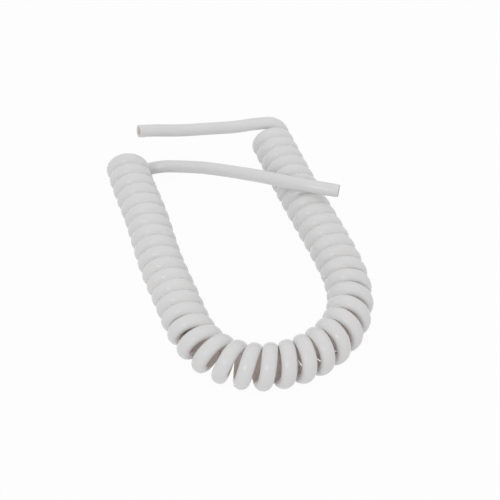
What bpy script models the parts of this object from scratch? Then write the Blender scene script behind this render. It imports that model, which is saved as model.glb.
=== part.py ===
"""Coiled vacuum hose: one plastic tube wound into a close coil, with a bare straight tail at each end.

The coil lies on its side, bent in a U. The near tail leaves the bottom of one end and crosses over the
other arm. The far tail leaves the top of the other end. Lengths are in metres, angles in degrees.
"""

import math

import bmesh
import bpy
import numpy as np
from mathutils import Vector, kdtree

# Driving dimensions
HOSE_OD = 0.007
HOSE_BORE = 0.004
COIL_OD = 0.0244
# The winding presses the tube oval: its width along the coil, and its depth out of the coil
TURN_WIDTH = 0.008
TURN_DEPTH = 0.0064
TURNS = 43
TURN_CLEARANCE = 0.0001
# How deep the tube is flat where the coil lies on a surface
FLAT_DEPTH = 0.0006
JOINT_GAP = 0.0003
SEAT_GAP = 0.0003

# Lay of the coil: the heading of its axis at even steps from the near end to the far end
COIL_HEADINGS = (-76, -70, -74.5, -68.5, -65.5, -22.5, 18.5, 55.5, 96.5, 110.5, 111, 109.5, 109.5)
# In the bend the turns keep their pitch along a line inside the axis, at this share of the coil's radius
BEND_LINE = 0.72
# The last part of a turn, and how far it opens before the far tail leaves it
OPENING_TURN = 0.4
FAR_OPENING = 0.002
# Where the tails leave, measured round the coil's axis from its lowest point, the way that it is wound
NEAR_EXIT = -9
FAR_EXIT = 187

# Routes of the tails after their straight start, from the end of the coil: across and away in tube
# diameters, and up as a share of the height from that end to a tube lying on top of the coil
TAIL_LEAD = 0.0015
NEAR_ROUTE = (
    (0.75, 0.24, 0.03),
    (1.83, 0.35, 0.07),
    (3.22, 0.14, 0.13),
    (4.82, -0.38, 0.25),
    (6.51, -1.20, 0.41),
    (8.51, -2.32, 0.61),
    (10.22, -3.33, 0.78),
    (12.31, -4.48, 0.94),
    (13.84, -5.13, 1.01),
    (16.06, -5.70, 1.02),
)
FAR_ROUTE = (
    (-0.76, -0.05, -0.09),
    (-2.03, -0.17, -0.18),
    (-4.20, -0.41, -0.15),
    (-6.26, -0.81, 0.03),
    (-8.29, -1.32, 0.44),
    (-9.56, -1.78, 0.74),
)

# Detail of the faceted tubes
CURL_STEP = 40
COIL_SIDES = 6
TAIL_BEVEL = 3
TAIL_STEP = HOSE_OD / 2
SAMPLES = 4000
SMALL_TURN = 0.5
WELD = 0.000001
EDGE_ANGLE = 65

PLASTIC_COLOUR = (0.66, 0.66, 0.65, 1)
PLASTIC_ROUGHNESS = 0.3

COIL_RADIUS = (COIL_OD - TURN_DEPTH) / 2
TURN_PITCH = TURN_WIDTH + TURN_CLEARANCE
AXIS_HEIGHT = COIL_OD / 2 - FLAT_DEPTH
OVER_COIL = AXIS_HEIGHT + COIL_OD / 2 + SEAT_GAP + HOSE_OD / 2


def smooth(knots, count):
    """Natural cubic spline through evenly spaced knots, read at a number of even steps."""
    knots = np.array(knots, dtype=float)
    last = len(knots) - 1
    system = np.eye(last + 1)
    pull = np.zeros_like(knots)
    for i in range(1, last):
        system[i, i - 1 : i + 2] = 1, 4, 1
        pull[i] = 6 * (knots[i - 1] - 2 * knots[i] + knots[i + 1])
    bend = np.linalg.solve(system, pull)
    at = np.linspace(0, last, count)
    left = np.minimum(at.astype(int), last - 1)
    after = (at - left).reshape(-1, *[1] * (knots.ndim - 1))
    before = 1 - after
    line = before * knots[left] + after * knots[left + 1]
    return line + ((before**3 - before) * bend[left] + (after**3 - after) * bend[left + 1]) / 6


def unit(vector):
    return vector / np.linalg.norm(vector)


def coil_lay():
    """Angle wound, place and heading along the coil's axis."""
    heading = np.radians(smooth(COIL_HEADINGS, SAMPLES))
    lag = BEND_LINE * COIL_RADIUS * np.abs(np.diff(heading))
    wound = (FAR_EXIT - NEAR_EXIT) / 360 + TURNS
    step = (wound * TURN_PITCH + lag.sum()) / (SAMPLES - 1)
    turns = np.append(0, np.cumsum(step - lag) / TURN_PITCH)
    opening = FAR_OPENING * np.clip((turns - wound) / OPENING_TURN + 1, 0, 1) ** 2
    middle = (heading[1:] + heading[:-1]) / 2
    x = np.append(0, np.cumsum(np.cos(middle)) * step) + opening * np.cos(heading)
    y = np.append(0, np.cumsum(np.sin(middle)) * step) + opening * np.sin(heading)
    return NEAR_EXIT + 360 * turns, x, y, heading


def coil_centres():
    """Centre line of the wound tube with its straight ends, and the way out of the coil at each point."""
    wound, x, y, heading = coil_lay()
    first_step = math.ceil(NEAR_EXIT / CURL_STEP) * CURL_STEP
    steps = np.arange(first_step, wound[-1], CURL_STEP)
    angles = np.unique(np.concatenate((wound[:1], steps, wound[-1:])))

    def centre(angle):
        around = np.radians(angle)[:, None]
        turn = np.interp(angle, wound, heading)
        side = np.stack((-np.sin(turn), np.cos(turn), 0 * turn), axis=1)
        out = -np.cos(around) * (0, 0, 1) - np.sin(around) * side
        axis = np.stack((np.interp(angle, wound, x), np.interp(angle, wound, y), 0 * turn), axis=1)
        return axis + (0, 0, AXIS_HEIGHT) + COIL_RADIUS * out, out

    centres, outward = centre(angles)
    into_near = unit(centres[0] - centre(angles[:1] + SMALL_TURN)[0][0])
    into_far = unit(centres[-1] - centre(angles[-1:] - SMALL_TURN)[0][0])
    centres = np.vstack((centres[0] + HOSE_OD * into_near, centres, centres[-1] + HOSE_OD * into_far))
    return centres, np.vstack((outward[0], outward, outward[-1]))


def tail_centres(end, before_end, route):
    """Centre line of a tail that goes straight on from the end of the coil and then follows its route."""
    ahead = unit(end - before_end)
    start = end + JOINT_GAP * ahead
    rise = OVER_COIL - end[2]
    points = [start, start + TAIL_LEAD * ahead]
    points += [end + (across * HOSE_OD, away * HOSE_OD, up * rise) for across, away, up in route]
    fine = smooth(points, SAMPLES)
    run = np.append(0, np.cumsum(np.linalg.norm(np.diff(fine, axis=0), axis=1)))
    stations = np.linspace(0, run[-1], math.ceil(run[-1] / TAIL_STEP) + 1)
    return np.stack([np.interp(stations, run, fine[:, axis]) for axis in range(3)], axis=1)


def corner_out(centres, outward):
    """Tilts that keep a corner of the tube's section pointing out of the coil."""
    points = [Vector(c) for c in centres]
    chords = [(b - a).normalized() for a, b in zip(points, points[1:])]
    ways = [chords[0], *((a + b).normalized() for a, b in zip(chords, chords[1:])), chords[-1]]
    frame = ways[0].to_track_quat("-Z", "Y")
    tilts = []
    for i, way in enumerate(ways):
        if i:
            frame = ways[i - 1].rotation_difference(way) @ frame
        across = frame @ Vector((1, 0, 0))
        out = way.cross(Vector(outward[i]).cross(way))
        tilts.append(math.atan2(way.dot(across.cross(out)), across.dot(out)))
    return tilts


def turn_section():
    """Oval section of the wound tube, as a curve with a corner on its X axis, which points out of the coil."""
    curve = bpy.data.curves.new("turn_section", "CURVE")
    spline = curve.splines.new("POLY")
    spline.points.add(COIL_SIDES - 1)
    spline.use_cyclic_u = True
    for i, point in enumerate(spline.points):
        around = -2 * math.pi * i / COIL_SIDES
        point.co = (TURN_DEPTH / 2 * math.cos(around), TURN_WIDTH / 2 * math.sin(around), 0, 1)
    section = bpy.data.objects.new("turn_section", curve)
    section.hide_render = True
    cutters.objects.link(section)
    return section


def tube(name, centres, radius=0, bevel=0, section=None, tilts=None):
    """Closed tube along a centre line, round or with a section of its own, as a mesh object."""
    curve = bpy.data.curves.new(name, "CURVE")
    curve.dimensions = "3D"
    curve.bevel_depth = radius
    curve.bevel_resolution = bevel
    curve.use_fill_caps = True
    if section:
        curve.bevel_mode = "OBJECT"
        curve.bevel_object = section
    spline = curve.splines.new("POLY")
    spline.points.add(len(centres) - 1)
    for i, point in enumerate(spline.points):
        point.co = (*centres[i], 1)
        point.tilt = tilts[i] if tilts else 0
    guide = bpy.data.objects.new(name, curve)
    bpy.context.scene.collection.objects.link(guide)
    evaluated = guide.evaluated_get(bpy.context.evaluated_depsgraph_get())
    mesh = bpy.data.meshes.new_from_object(evaluated)
    bpy.data.objects.remove(guide)
    shell = bmesh.new()
    shell.from_mesh(mesh)
    bmesh.ops.remove_doubles(shell, verts=shell.verts, dist=WELD)
    shell.to_mesh(mesh)
    shell.free()
    mesh.shade_smooth()
    mesh.set_sharp_from_angle(angle=math.radians(EDGE_ANGLE))
    return bpy.data.objects.new(name, mesh)


def plastic(name):
    material = bpy.data.materials.new(name)
    material.use_nodes = True
    shader = material.node_tree.nodes["Principled BSDF"]
    shader.inputs["Base Color"].default_value = PLASTIC_COLOUR
    shader.inputs["Roughness"].default_value = PLASTIC_ROUGHNESS
    return material


def cut(part, cutter):
    cutter.hide_render = True
    cutter.display_type = "WIRE"
    cutter.parent = root
    cutters.objects.link(cutter)
    boolean = part.modifiers.new(cutter.name, "BOOLEAN")
    boolean.operation = "DIFFERENCE"
    boolean.object = cutter


def bore(name, centres):
    """Cutter for the bore, run on past both ends of a stretch of hose."""
    start = centres[0] + HOSE_BORE * unit(centres[0] - centres[1])
    end = centres[-1] + HOSE_BORE * unit(centres[-1] - centres[-2])
    return tube(name, np.vstack((start, centres, end)), HOSE_BORE / 2)


def stretch(part, centres):
    """One stretch of the hose, with its bore cut through."""
    part.data.materials.append(plastic(part.name + "_plastic"))
    part.parent = root
    hose.objects.link(part)
    cut(part, bore(part.name + "_bore", centres))


def surface(name, centres):
    """Cutter that fills the space below the surface that the coil lies on."""
    low = centres.min(axis=0) - HOSE_OD
    high = centres.max(axis=0) + HOSE_OD
    high[2] = 0
    block = bmesh.new()
    bmesh.ops.create_cube(block, size=1)
    bmesh.ops.scale(block, vec=high - low, verts=block.verts)
    bmesh.ops.translate(block, vec=(high + low) / 2, verts=block.verts)
    mesh = bpy.data.meshes.new(name)
    block.to_mesh(mesh)
    block.free()
    return bpy.data.objects.new(name, mesh)


def least_gap(part, centres):
    """Least distance between points of the tube's skin that lie more than half a turn apart along it."""
    line = kdtree.KDTree(len(centres))
    for i, centre in enumerate(centres):
        line.insert(centre, i)
    line.balance()
    station = [line.find(v.co)[1] for v in part.data.vertices]
    skin = kdtree.KDTree(len(station))
    for i, v in enumerate(part.data.vertices):
        skin.insert(v.co, i)
    skin.balance()
    half_turn = 180 / CURL_STEP
    gaps = []
    for i, v in enumerate(part.data.vertices):
        close = skin.find_range(v.co, HOSE_OD)
        gaps += [gap for _, j, gap in close if abs(station[i] - station[j]) > half_turn]
    return min(gaps)


for old in list(bpy.data.objects):
    bpy.data.objects.remove(old)

hose = bpy.data.collections.new("coiled_vacuum_hose")
cutters = bpy.data.collections.new("cutters")
bpy.context.scene.collection.children.link(hose)
bpy.context.scene.collection.children.link(cutters)

coil_line, out_of_coil = coil_centres()
near_line = tail_centres(coil_line[0], coil_line[1], NEAR_ROUTE)
far_line = tail_centres(coil_line[-1], coil_line[-2], FAR_ROUTE)

coil = tube("coil", coil_line, section=turn_section(), tilts=corner_out(coil_line, out_of_coil))
near_tail = tube("near_tail", near_line, HOSE_OD / 2, TAIL_BEVEL)
far_tail = tube("far_tail", far_line, HOSE_OD / 2, TAIL_BEVEL)

# The origin is the middle of the hose's plan, on the surface that it lies on
plan = np.array([v.co.xy for part in (coil, near_tail, far_tail) for v in part.data.vertices])
middle = (plan.min(axis=0) + plan.max(axis=0)) / 2
root = bpy.data.objects.new("hose", None)
root.location = (-middle[0], -middle[1], 0)
hose.objects.link(root)

stretch(coil, coil_line)
cut(coil, surface("resting_flats", coil_line))
stretch(near_tail, near_line)
stretch(far_tail, far_line)
print(f"least gap between turns: {least_gap(coil, coil_line) * 1000:.2f} mm")
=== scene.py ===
import math

import bpy
import numpy as np
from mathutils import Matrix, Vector


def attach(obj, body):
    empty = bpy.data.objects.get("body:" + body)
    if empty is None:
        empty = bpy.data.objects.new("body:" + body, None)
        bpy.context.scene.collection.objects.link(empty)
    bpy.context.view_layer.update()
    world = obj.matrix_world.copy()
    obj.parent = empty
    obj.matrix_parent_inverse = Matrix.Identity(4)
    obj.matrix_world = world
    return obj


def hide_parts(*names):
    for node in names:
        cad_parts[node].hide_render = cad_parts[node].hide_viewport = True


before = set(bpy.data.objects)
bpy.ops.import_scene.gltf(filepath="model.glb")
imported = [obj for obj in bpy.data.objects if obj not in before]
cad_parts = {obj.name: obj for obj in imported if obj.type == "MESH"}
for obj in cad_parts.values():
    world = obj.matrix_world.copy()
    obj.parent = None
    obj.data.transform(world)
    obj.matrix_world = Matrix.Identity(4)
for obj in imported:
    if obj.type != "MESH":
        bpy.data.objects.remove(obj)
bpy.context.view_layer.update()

# Sizes of the hose, in metres, and angles in degrees, as in the solids
HOSE_OD = 0.007
HOSE_BORE = 0.004
COIL_OD = 0.0244
TURN_WIDTH = 0.008
TURN_DEPTH = 0.0064
TURNS = 43
TURN_CLEARANCE = 0.0001
FLAT_DEPTH = 0.0006
JOINT_GAP = 0.0003
SEAT_GAP = 0.0003
COIL_HEADINGS = (-76, -70, -74.5, -68.5, -65.5, -22.5, 18.5, 55.5, 96.5, 110.5, 111, 109.5, 109.5)
BEND_LINE = 0.72
OPENING_TURN = 0.4
FAR_OPENING = 0.002
NEAR_EXIT = -9
FAR_EXIT = 187
TAIL_LEAD = 0.0015
NEAR_ROUTE = (
    (0.75, 0.24, 0.03),
    (1.83, 0.35, 0.07),
    (3.22, 0.14, 0.13),
    (4.82, -0.38, 0.25),
    (6.51, -1.20, 0.41),
    (8.51, -2.32, 0.61),
    (10.22, -3.33, 0.78),
    (12.31, -4.48, 0.94),
    (13.84, -5.13, 1.01),
    (16.06, -5.70, 1.02),
)
FAR_ROUTE = (
    (-0.76, -0.05, -0.09),
    (-2.03, -0.17, -0.18),
    (-4.20, -0.41, -0.15),
    (-6.26, -0.81, 0.03),
    (-8.29, -1.32, 0.44),
    (-9.56, -1.78, 0.74),
)
PLAN_MIDDLE = (0.062345, -0.062303, 0)
COIL_RADIUS = (COIL_OD - TURN_DEPTH) / 2
TURN_PITCH = TURN_WIDTH + TURN_CLEARANCE
AXIS_HEIGHT = COIL_OD / 2 - FLAT_DEPTH
OVER_COIL = AXIS_HEIGHT + COIL_OD / 2 + SEAT_GAP + HOSE_OD / 2

# Fineness of the swept tube
SAMPLES = 4000
SMALL_TURN = 0.5
TURN_POINTS = 40
TAIL_STEP = 0.002
TUBE_SIDES = 24
PRESS_FADE = 0.012
TAIL_SWELL = 1.035
CUT_LIP = 0.0002
LIP_SHOULDER = 0.3
SEAM_DISTANCE = 0.00002
RAY_START = 0.00002
GROOVE_REACH = 0.004
GROOVE_SMOOTHING = 2
WALL_CORNERS = 4

# Finish of the plastic
WHITE = (0.812, 0.807, 0.807, 1)
# Painted light: paler where two turns meet or the tail touches the coil, in place of light through the wall.
GROOVE_PAINTED_LIGHT = (0.97, 0.955, 0.945, 1)
# Painted light: warmer and paler on the side of each turn that faces into the coil, in place of light
# through the wall.
INSIDE_PAINTED_LIGHT = (0.97, 0.895, 0.855, 1)
# Painted shade: the near cut face is painted dark brown.
NEAR_CUT_PAINTED_SHADE = (0.30, 0.25, 0.22, 1)
FAR_CUT_TINT = (0.78, 0.74, 0.70, 1)
# Painted light: the bore is painted pale tan, in place of light coming through the wall.
BORE_PAINTED_LIGHT = (0.95, 0.87, 0.80, 1)
SCUFF_TINT = (0.85, 0.85, 0.84, 1)
CLOUD_SCALE = 70.0
MOTTLE_SCALE = 700.0
DRAW_LINE_SCALE = 900.0
DRAW_LINE_STRETCH = 0.006
RUB_SCALE = 260.0
RUB_RANGE = (0.62, 0.74)
RUB_COLOUR_SHARE = 0.25
GROOVE_RANGE = (0.1, 0.8)
INSIDE_RANGE = (-0.1, 0.5)
FAR_CUT_RANGE = (0.5, 1.0)
SEMI_GLOSS = 0.14
PLASTIC_IOR = 1.45
RELIEF_STRENGTH = 0.25
RELIEF_DEPTH = 0.00006
SUBSURFACE_WEIGHT = 0.25
SUBSURFACE_RADIUS = (1, 0.9, 0.85)
SUBSURFACE_DEPTH = 0.001

# Table, light and camera
TABLE_COLOUR = (0.84, 0.84, 0.835, 1)
TABLE_GLOW = 0.95
TABLE_SIZE = 4
ROOM_LIGHT = 0.66
VIEW_TARGET = Vector((0.00929, 0.00739, -FLAT_DEPTH))
VIEW_ELEVATION = 48.506
VIEW_DISTANCE = 0.62893
VIEW_LENS = 81.15


def smooth(knots, count):
    """Natural cubic spline through evenly spaced knots, read at a number of even steps."""
    knots = np.array(knots, dtype=float)
    last = len(knots) - 1
    system = np.eye(last + 1)
    pull = np.zeros_like(knots)
    for i in range(1, last):
        system[i, i - 1 : i + 2] = 1, 4, 1
        pull[i] = 6 * (knots[i - 1] - 2 * knots[i] + knots[i + 1])
    bend = np.linalg.solve(system, pull)
    at = np.linspace(0, last, count)
    left = np.minimum(at.astype(int), last - 1)
    after = (at - left).reshape(-1, *[1] * (knots.ndim - 1))
    before = 1 - after
    line = before * knots[left] + after * knots[left + 1]
    return line + ((before**3 - before) * bend[left] + (after**3 - after) * bend[left + 1]) / 6


def unit(vector):
    return vector / np.linalg.norm(vector)


def even(points, step):
    """The same line with its points spread evenly."""
    run = np.append(0, np.cumsum(np.linalg.norm(np.diff(points, axis=0), axis=1)))
    stations = np.linspace(0, run[-1], math.ceil(run[-1] / step) + 1)
    return np.stack([np.interp(stations, run, points[:, axis]) for axis in range(3)], axis=1)


def coil_line():
    """Centre line of the wound stretch with its straight ends, and the way out of the coil along it."""
    heading = np.radians(smooth(COIL_HEADINGS, SAMPLES))
    lag = BEND_LINE * COIL_RADIUS * np.abs(np.diff(heading))
    turns_wound = (FAR_EXIT - NEAR_EXIT) / 360 + TURNS
    step = (turns_wound * TURN_PITCH + lag.sum()) / (SAMPLES - 1)
    turns = np.append(0, np.cumsum(step - lag) / TURN_PITCH)
    opening = FAR_OPENING * np.clip((turns - turns_wound) / OPENING_TURN + 1, 0, 1) ** 2
    middle = (heading[1:] + heading[:-1]) / 2
    x = np.append(0, np.cumsum(np.cos(middle)) * step) + opening * np.cos(heading)
    y = np.append(0, np.cumsum(np.sin(middle)) * step) + opening * np.sin(heading)
    wound = NEAR_EXIT + 360 * turns

    def centre(angle):
        around = np.radians(angle)[:, None]
        turn = np.interp(angle, wound, heading)
        side = np.stack((-np.sin(turn), np.cos(turn), 0 * turn), axis=1)
        out = -np.cos(around) * (0, 0, 1) - np.sin(around) * side
        axis = np.stack((np.interp(angle, wound, x), np.interp(angle, wound, y), 0 * turn), axis=1)
        return axis + (0, 0, AXIS_HEIGHT) + COIL_RADIUS * out, out

    angles = np.linspace(wound[0], wound[-1], round(turns_wound * TURN_POINTS))
    centres, outward = centre(angles)
    into_near = unit(centres[0] - centre(angles[:1] + SMALL_TURN)[0][0])
    into_far = unit(centres[-1] - centre(angles[-1:] - SMALL_TURN)[0][0])
    centres = np.vstack((centres[0] + HOSE_OD * into_near, centres, centres[-1] + HOSE_OD * into_far))
    return centres, outward


def tail_line(end, before_end, route):
    """Centre line of a tail that goes straight on from the end of the coil and then follows its route."""
    ahead = unit(end - before_end)
    start = end + JOINT_GAP * ahead
    rise = OVER_COIL - end[2]
    points = [start, start + TAIL_LEAD * ahead]
    points += [end + (across * HOSE_OD, away * HOSE_OD, up * rise) for across, away, up in route]
    return even(smooth(points, SAMPLES), TAIL_STEP)


def hose_line():
    """Centre line of the whole hose from its near end to its far end, with the way out of the coil and how
    far the winding presses the tube oval."""
    coil, outward = coil_line()
    near = tail_line(coil[0], coil[1], NEAR_ROUTE)
    far = tail_line(coil[-1], coil[-2], FAR_ROUTE)
    near = np.vstack((near[::-1], even(coil[:2], TAIL_STEP)[:-1]))
    far = np.vstack((even(coil[-2:], TAIL_STEP)[1:], far))
    points = np.vstack((near, coil[1:-1], far)) - PLAN_MIDDLE
    run = np.append(0, np.cumsum(np.linalg.norm(np.diff(points, axis=0), axis=1)))
    ahead = np.gradient(points, run, axis=0)
    ahead /= np.linalg.norm(ahead, axis=1, keepdims=True)
    outward = np.pad(outward, ((len(near), len(far)), (0, 0)), mode="edge")
    outward -= (outward * ahead).sum(axis=1, keepdims=True) * ahead
    outward /= np.linalg.norm(outward, axis=1, keepdims=True)
    before_coil = run[len(near)] - run
    after_coil = run - run[-len(far) - 1]
    left = np.clip(np.maximum(before_coil, after_coil) / PRESS_FADE, 0, 1)
    return points, outward, 1 - left**2 * (3 - 2 * left)


class Number:
    """A number that varies over a shape: arithmetic on it adds Math nodes to its graph."""

    def __init__(self, graph, socket):
        self.graph = graph
        self.socket = socket

    def math(self, operation, *terms):
        return self.graph.number("ShaderNodeMath", {"operation": operation}, dict(enumerate(terms)))

    def __add__(self, other):
        return self.math("ADD", self, other)

    def __sub__(self, other):
        return self.math("SUBTRACT", self, other)

    def __rsub__(self, other):
        return self.math("SUBTRACT", other, self)

    def __mul__(self, other):
        return self.math("MULTIPLY", self, other)

    def __truediv__(self, other):
        return self.math("DIVIDE", self, other)

    __radd__ = __add__
    __rmul__ = __mul__


class Graph:
    """A node tree that is filled from code."""

    def __init__(self, tree):
        self.tree = tree

    def node(self, kind, settings=None, sockets=None):
        node = self.tree.nodes.new(kind)
        for name, value in (settings or {}).items():
            setattr(node, name, value)
        for key, value in (sockets or {}).items():
            source = value.socket if isinstance(value, Number) else value
            if isinstance(source, bpy.types.NodeSocket):
                self.tree.links.new(source, node.inputs[key])
            else:
                node.inputs[key].default_value = source
        return node

    def number(self, kind, settings=None, sockets=None, output=0):
        return Number(self, self.node(kind, settings, sockets).outputs[output])

    def attribute(self, name, output):
        return self.node("ShaderNodeAttribute", {"attribute_name": name}).outputs[output]

    def noise(self, vector, scale, detail=2.0, roughness=0.5):
        sockets = {"Vector": vector, "Scale": scale, "Detail": detail, "Roughness": roughness}
        return self.number("ShaderNodeTexNoise", {}, sockets, "Fac")

    def between(self, value, low, high):
        """0 where the value is low, 1 where it is high, and an even ramp between."""
        sockets = {"Value": value, "From Min": low, "From Max": high}
        return self.number("ShaderNodeMapRange", {"interpolation_type": "SMOOTHSTEP"}, sockets)

    def tint(self, factor, first, second):
        settings = {"data_type": "RGBA", "blend_type": "MIX"}
        return self.node("ShaderNodeMix", settings, {0: factor, 6: first, 7: second}).outputs[2]


def hose_sweep():
    """Geometry nodes that sweep the wall, the bore and the cut ends of the hose along its centre line."""
    tree = bpy.data.node_groups.new("hose_sweep", "GeometryNodeTree")
    graph = Graph(tree)
    tree.interface.new_socket("Centre Line", in_out="INPUT", socket_type="NodeSocketGeometry")
    tube_sizes = ("Outside Radius", "Bore Radius", "Pressed Depth", "Pressed Width", "Tail Swell")
    for name in (*tube_sizes, "Cut Lip", "Groove Reach"):
        tree.interface.new_socket(name, in_out="INPUT", socket_type="NodeSocketFloat")
    tree.interface.new_socket("Sides", in_out="INPUT", socket_type="NodeSocketInt")
    tree.interface.new_socket("Plastic", in_out="INPUT", socket_type="NodeSocketMaterial")
    tree.interface.new_socket("Hose", in_out="OUTPUT", socket_type="NodeSocketGeometry")
    given = graph.node("NodeGroupInput").outputs
    outside = Number(graph, given["Outside Radius"])
    inside = Number(graph, given["Bore Radius"])
    swell = Number(graph, given["Tail Swell"])
    lip = Number(graph, given["Cut Lip"])
    reach = Number(graph, given["Groove Reach"])

    def keep(geometry, value, kind):
        capture = graph.node("GeometryNodeCaptureAttribute")
        capture.capture_items.new(kind, "Kept")
        tree.links.new(geometry, capture.inputs[0])
        tree.links.new(value, capture.inputs[1])
        return capture.outputs[0], capture.outputs[1]

    def store(geometry, name, value, kind, domain, selection=True):
        settings = {"data_type": kind, "domain": domain}
        sockets = {"Geometry": geometry, "Name": name, "Value": value, "Selection": selection}
        return graph.node("GeometryNodeStoreNamedAttribute", settings, sockets).outputs[0]

    def named(name, kind):
        return graph.node("GeometryNodeInputNamedAttribute", {"data_type": kind}, {"Name": name}).outputs[0]

    def vector(operation, *terms):
        return graph.node("ShaderNodeVectorMath", {"operation": operation}, dict(enumerate(terms))).outputs

    place = graph.node("GeometryNodeInputPosition").outputs[0]
    run = graph.node("GeometryNodeSplineParameter").outputs["Length"]
    outward = named("out_of_coil", "FLOAT_VECTOR")
    line = graph.node("GeometryNodeMeshToCurve", {}, {"Mesh": given["Centre Line"]}).outputs[0]
    sockets = {"Curve": line, "Normal": outward}
    line = graph.node("GeometryNodeSetCurveNormal", {"mode": "FREE"}, sockets).outputs[0]
    line, along = keep(line, run, "FLOAT")
    line, centre = keep(line, place, "VECTOR")
    press = Number(graph, named("press", "FLOAT"))

    def wall(radius, caps):
        """One wall of the tube, pressed oval in the coil. It knows where each of its points lies on the
        straight, unwound hose, and how far that point faces into the coil."""
        sockets = {"Resolution": given["Sides"], "Radius": radius}
        ring = graph.node("GeometryNodeCurvePrimitiveCircle", {}, sockets)
        profile, section = keep(ring.outputs["Curve"], place, "VECTOR")
        sockets = {"Curve": line, "Profile Curve": profile, "Fill Caps": caps}
        swept = graph.node("GeometryNodeCurveToMesh", {}, sockets).outputs[0]
        across = graph.node("ShaderNodeSeparateXYZ", {}, {0: section}).outputs
        straight = graph.node("ShaderNodeCombineXYZ", {}, {0: across[0], 1: across[1], 2: along}).outputs[0]
        swept = store(swept, "straight", straight, "FLOAT_VECTOR", "POINT")
        offset = vector("SUBTRACT", place, centre)[0]
        out = Number(graph, vector("DOT_PRODUCT", offset, outward)["Value"])
        swept = store(swept, "inward", (press - 1 - out / radius * press).socket, "FLOAT", "POINT")
        wide = (given["Pressed Width"] - swell) * press + swell
        deep = (given["Pressed Depth"] - swell) * press + swell
        widened = vector("SCALE", offset)[0].node
        tree.links.new(wide.socket, widened.inputs["Scale"])
        lowered = vector("SCALE", outward)[0].node
        tree.links.new(((deep - wide) * out).socket, lowered.inputs["Scale"])
        pressed = vector("ADD", vector("ADD", centre, widened.outputs[0])[0], lowered.outputs[0])[0]
        return graph.node("GeometryNodeSetPosition", {}, {"Geometry": swept, "Position": pressed}).outputs[0]

    def ring_of_faces(mesh, faces, out, ratio):
        """A new ring of faces round a cut end: moved out along the hose, and drawn in by a ratio."""
        sockets = {"Mesh": mesh, "Selection": faces, "Offset Scale": out, "Individual": False}
        grown = graph.node("GeometryNodeExtrudeMesh", {"mode": "FACES"}, sockets).outputs
        sockets = {"Geometry": grown["Mesh"], "Selection": grown["Top"], "Scale": ratio}
        drawn = graph.node("GeometryNodeScaleElements", {"domain": "FACE"}, sockets).outputs[0]
        return drawn, grown["Top"], grown["Side"]

    outer = wall(outside, True)
    corners = graph.node("GeometryNodeInputMeshFaceNeighbors").outputs["Vertex Count"]
    settings = {"data_type": "INT", "operation": "GREATER_THAN"}
    cap = graph.node("FunctionNodeCompare", settings, {2: corners, 3: WALL_CORNERS}).outputs[0]
    rim = outside * swell
    hole = inside * swell
    first_radius = rim - lip * LIP_SHOULDER
    outer, cap, _ = ring_of_faces(outer, cap, lip * (1 - LIP_SHOULDER), first_radius / rim)
    outer, cap, _ = ring_of_faces(outer, cap, lip * LIP_SHOULDER, (rim - lip) / first_radius)
    outer, cap, cut_face = ring_of_faces(outer, cap, 0.0, (hole + lip) / (rim - lip))
    outer = store(outer, "cut_end", 1.0, "FLOAT", "FACE", cut_face)
    outer, cap, _ = ring_of_faces(outer, cap, lip * -1, hole / (hole + lip))
    sockets = {"Geometry": outer, "Selection": cap}
    outer = graph.node("GeometryNodeDeleteGeometry", {"domain": "FACE"}, sockets).outputs[0]
    inner = graph.node("GeometryNodeFlipFaces", {}, {"Mesh": wall(inside, False)}).outputs[0]
    inner = store(inner, "in_bore", 1.0, "FLOAT", "FACE")
    both = graph.node("GeometryNodeJoinGeometry")
    tree.links.new(inner, both.inputs[0])
    tree.links.new(outer, both.inputs[0])
    sockets = {"Geometry": both.outputs[0], "Distance": SEAM_DISTANCE}
    tube = graph.node("GeometryNodeMergeByDistance", {}, sockets).outputs[0]

    at = graph.node("ShaderNodeSeparateXYZ", {}, {0: place}).outputs
    height = Number(graph, at[2]).math("MAXIMUM", at[2], 0.0)
    on_table = graph.node("ShaderNodeCombineXYZ", {}, {0: at[0], 1: at[1], 2: height}).outputs[0]
    tube = graph.node("GeometryNodeSetPosition", {}, {"Geometry": tube, "Position": on_table}).outputs[0]

    # How near each point faces another surface of the hose; the plastic is painted paler there as painted
    # light.
    facing = graph.node("GeometryNodeInputNormal").outputs[0]
    start = vector("MULTIPLY_ADD", facing, (RAY_START, RAY_START, RAY_START), place)[0]
    sockets = {
        "Target Geometry": tube,
        "Source Position": start,
        "Ray Direction": facing,
        "Ray Length": reach,
    }
    ray = graph.node("GeometryNodeRaycast", {}, sockets).outputs
    closeness = (1 - Number(graph, ray["Hit Distance"]) / reach) * Number(graph, ray["Is Hit"])
    sockets = {"Value": closeness, "Iterations": GROOVE_SMOOTHING}
    evened = graph.node("GeometryNodeBlurAttribute", {}, sockets).outputs[0]
    tube = store(tube, "groove", evened, "FLOAT", "POINT")

    tube = graph.node("GeometryNodeSetShadeSmooth", {}, {"Geometry": tube}).outputs[0]
    tube = graph.node("GeometryNodeRealizeInstances", {}, {"Geometry": tube}).outputs[0]
    sockets = {"Geometry": tube, "Material": given["Plastic"]}
    tube = graph.node("GeometryNodeSetMaterial", {}, sockets).outputs[0]
    graph.node("NodeGroupOutput", {}, {"Hose": tube})
    return tree


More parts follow.
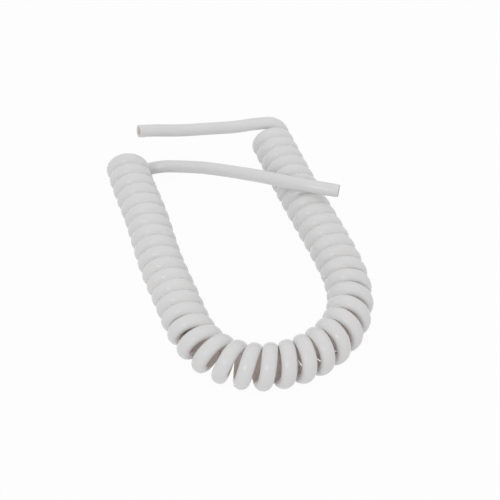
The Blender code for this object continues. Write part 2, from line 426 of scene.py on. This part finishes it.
def hose_plastic():
    """White semi-gloss plastic, as extruded: faint draw lines, soft mottling and rubs. Its colour holds
    painted light:
    paler where two turns meet or touch, warmer inside the coil and pale tan in the bore, in place of light
    that comes through the wall; and painted shade: the near cut face is dark brown."""
    material = bpy.data.materials.new("hose_white_plastic")
    material.use_nodes = True
    graph = Graph(material.node_tree)
    straight = graph.attribute("straight", "Vector")
    inward = Number(graph, graph.attribute("inward", "Fac"))
    groove = Number(graph, graph.attribute("groove", "Fac"))
    cut_end = Number(graph, graph.attribute("cut_end", "Fac"))
    in_bore = Number(graph, graph.attribute("in_bore", "Fac"))
    sockets = {0: straight, 1: (1, 1, DRAW_LINE_STRETCH)}
    drawn = graph.node("ShaderNodeVectorMath", {"operation": "MULTIPLY"}, sockets).outputs[0]

    cloud = graph.noise(straight, CLOUD_SCALE)
    mottle = graph.noise(straight, MOTTLE_SCALE, 3.0)
    draw_lines = graph.noise(drawn, DRAW_LINE_SCALE, 3.0, 0.6)
    rubbed = graph.between(graph.noise(straight, RUB_SCALE, 4.0, 0.65), *RUB_RANGE)

    shade = 0.955 + cloud * 0.05 + mottle * 0.025 + draw_lines * 0.015
    shade_colour = graph.node("ShaderNodeCombineXYZ", {}, {0: shade, 1: shade, 2: shade}).outputs[0]
    settings = {"data_type": "RGBA", "blend_type": "MULTIPLY"}
    white = graph.node("ShaderNodeMix", settings, {0: 1.0, 6: WHITE, 7: shade_colour}).outputs[2]
    colour = graph.tint(rubbed * RUB_COLOUR_SHARE, white, SCUFF_TINT)
    # Painted light: paler where two turns meet or touch.
    colour = graph.tint(graph.between(groove, *GROOVE_RANGE), colour, GROOVE_PAINTED_LIGHT)
    # Painted light: warmer inside the coil.
    colour = graph.tint(graph.between(inward, *INSIDE_RANGE), colour, INSIDE_PAINTED_LIGHT)
    # Painted light: pale tan in the bore.
    colour = graph.tint(in_bore, colour, BORE_PAINTED_LIGHT)
    # Painted shade: the near cut face is dark brown; the far cut face is pale tan.
    along = graph.node("ShaderNodeSeparateXYZ", {}, {0: straight}).outputs[2]
    cut = graph.tint(graph.between(along, *FAR_CUT_RANGE), NEAR_CUT_PAINTED_SHADE, FAR_CUT_TINT)
    colour = graph.tint(cut_end, colour, cut)

    roughness = SEMI_GLOSS + cloud * 0.04 + mottle * 0.05 + rubbed * 0.15 + cut_end * 0.3 + in_bore * 0.2
    relief = mottle * 0.5 + draw_lines * 0.5 - rubbed * 0.2 + cut_end * mottle * 2
    sockets = {"Strength": RELIEF_STRENGTH, "Distance": RELIEF_DEPTH, "Height": relief}
    bump = graph.node("ShaderNodeBump", {}, sockets)
    shader = material.node_tree.nodes["Principled BSDF"]
    links = material.node_tree.links
    links.new(colour, shader.inputs["Base Color"])
    links.new(roughness.socket, shader.inputs["Roughness"])
    links.new(bump.outputs[0], shader.inputs["Normal"])
    shader.inputs["IOR"].default_value = PLASTIC_IOR
    shader.inputs["Subsurface Weight"].default_value = SUBSURFACE_WEIGHT
    shader.inputs["Subsurface Radius"].default_value = SUBSURFACE_RADIUS
    shader.inputs["Subsurface Scale"].default_value = SUBSURFACE_DEPTH
    return material


def coiled_hose():
    """The hose, swept along its centre line and turned into a plain mesh."""
    points, outward, press = hose_line()
    line = bpy.data.meshes.new("hose_centre_line")
    line.from_pydata(points, [(i, i + 1) for i in range(len(points) - 1)], [])
    line.attributes.new("out_of_coil", "FLOAT_VECTOR", "POINT").data.foreach_set("vector", outward.ravel())
    line.attributes.new("press", "FLOAT", "POINT").data.foreach_set("value", press)
    guide = bpy.data.objects.new("hose_guide", line)
    bpy.context.scene.collection.objects.link(guide)
    tree = hose_sweep()
    sweep = guide.modifiers.new("sweep", "NODES")
    sweep.node_group = tree
    sizes = {
        "Outside Radius": HOSE_OD / 2,
        "Bore Radius": HOSE_BORE / 2,
        "Pressed Depth": TURN_DEPTH / HOSE_OD,
        "Pressed Width": TURN_WIDTH / HOSE_OD,
        "Tail Swell": TAIL_SWELL,
        "Cut Lip": CUT_LIP,
        "Groove Reach": GROOVE_REACH,
        "Sides": TUBE_SIDES,
        "Plastic": hose_plastic(),
    }
    for item in tree.interface.items_tree:
        if item.name in sizes:
            sweep[item.identifier] = sizes[item.name]
    evaluated = guide.evaluated_get(bpy.context.evaluated_depsgraph_get())
    mesh = bpy.data.meshes.new_from_object(evaluated)
    bpy.data.objects.remove(guide)
    mesh.name = "coiled_hose"
    hose = bpy.data.objects.new("coiled_hose", mesh)
    bpy.context.scene.collection.objects.link(hose)
    return hose, points


def table_top():
    """Plain pale table that stays white to the camera and keeps the hose's shadow."""
    material = bpy.data.materials.new("table_white")
    material.use_nodes = True
    nodes = material.node_tree.nodes
    nodes.remove(nodes["Principled BSDF"])
    graph = Graph(material.node_tree)
    glow = graph.node("ShaderNodeEmission", {}, {"Color": (1, 1, 1, 1), "Strength": 1.0}).outputs[0]
    matt = graph.node("ShaderNodeBsdfDiffuse", {}, {"Color": TABLE_COLOUR}).outputs[0]
    shown = seen(graph) * TABLE_GLOW
    mixed = graph.node("ShaderNodeMixShader", {}, {0: shown, 1: matt, 2: glow}).outputs[0]
    material.node_tree.links.new(mixed, nodes["Material Output"].inputs["Surface"])
    mesh = bpy.data.meshes.new("table_top")
    half = TABLE_SIZE / 2
    corners = ((-half, -half, 0), (half, -half, 0), (half, half, 0), (-half, half, 0))
    mesh.from_pydata(corners, [], [(0, 1, 2, 3)])
    mesh.materials.append(material)
    table = bpy.data.objects.new("table_top", mesh)
    bpy.context.scene.collection.objects.link(table)
    return table


def seen(graph):
    """1 for what the camera sees, straight or in a reflection or through glass, and 0 for light."""
    path = graph.node("ShaderNodeLightPath").outputs
    rays = Number(graph, path["Is Camera Ray"]) + path["Is Glossy Ray"] + path["Is Transmission Ray"]
    return rays.math("MINIMUM", rays, 1.0)


def room():
    world = bpy.data.worlds.new("white_room")
    bpy.context.scene.world = world
    world.use_nodes = True
    graph = Graph(world.node_tree)
    strength = seen(graph) * (1 - ROOM_LIGHT) + ROOM_LIGHT
    shader = world.node_tree.nodes["Background"]
    shader.inputs["Color"].default_value = (1, 1, 1, 1)
    world.node_tree.links.new(strength.socket, shader.inputs["Strength"])


def direction(azimuth, elevation):
    """From the view's target: azimuth is counted from the camera's side towards the right."""
    flat = math.cos(math.radians(elevation))
    turn = math.radians(azimuth)
    return Vector((flat * math.sin(turn), -flat * math.cos(turn), math.sin(math.radians(elevation))))


def aim(thing, way, distance):
    thing.location = VIEW_TARGET + distance * way
    thing.rotation_euler = way.to_track_quat("Z", "Y").to_euler()
    bpy.context.scene.collection.objects.link(thing)


def soft_box(name, azimuth, elevation, distance, size, level):
    """Square soft light; level 1 alone would show a white surface as white."""
    lamp = bpy.data.lights.new(name, "AREA")
    lamp.shape = "SQUARE"
    lamp.size = size
    lamp.energy = level * (math.pi * distance) ** 2
    aim(bpy.data.objects.new(name, lamp), direction(azimuth, elevation), distance)


def view():
    camera = bpy.data.cameras.new("view")
    camera.sensor_width = 36
    camera.lens = VIEW_LENS
    camera.clip_start = 0.01
    eye = bpy.data.objects.new("view", camera)
    aim(eye, direction(0, VIEW_ELEVATION), VIEW_DISTANCE)
    bpy.context.scene.camera = eye


view()
hose, centre_line = coiled_hose()
table = table_top()
room()
soft_box("top_light", azimuth=180, elevation=66, distance=0.7, size=0.7, level=0.1)
soft_box("key_light", azimuth=-26, elevation=43, distance=0.8, size=0.15, level=0.1)
soft_box("side_light", azimuth=48, elevation=24, distance=0.9, size=0.1, level=0.02)
bpy.context.scene.view_settings.view_transform = "Standard"

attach(hose, "root")
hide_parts("coil", "near_tail", "far_tail")
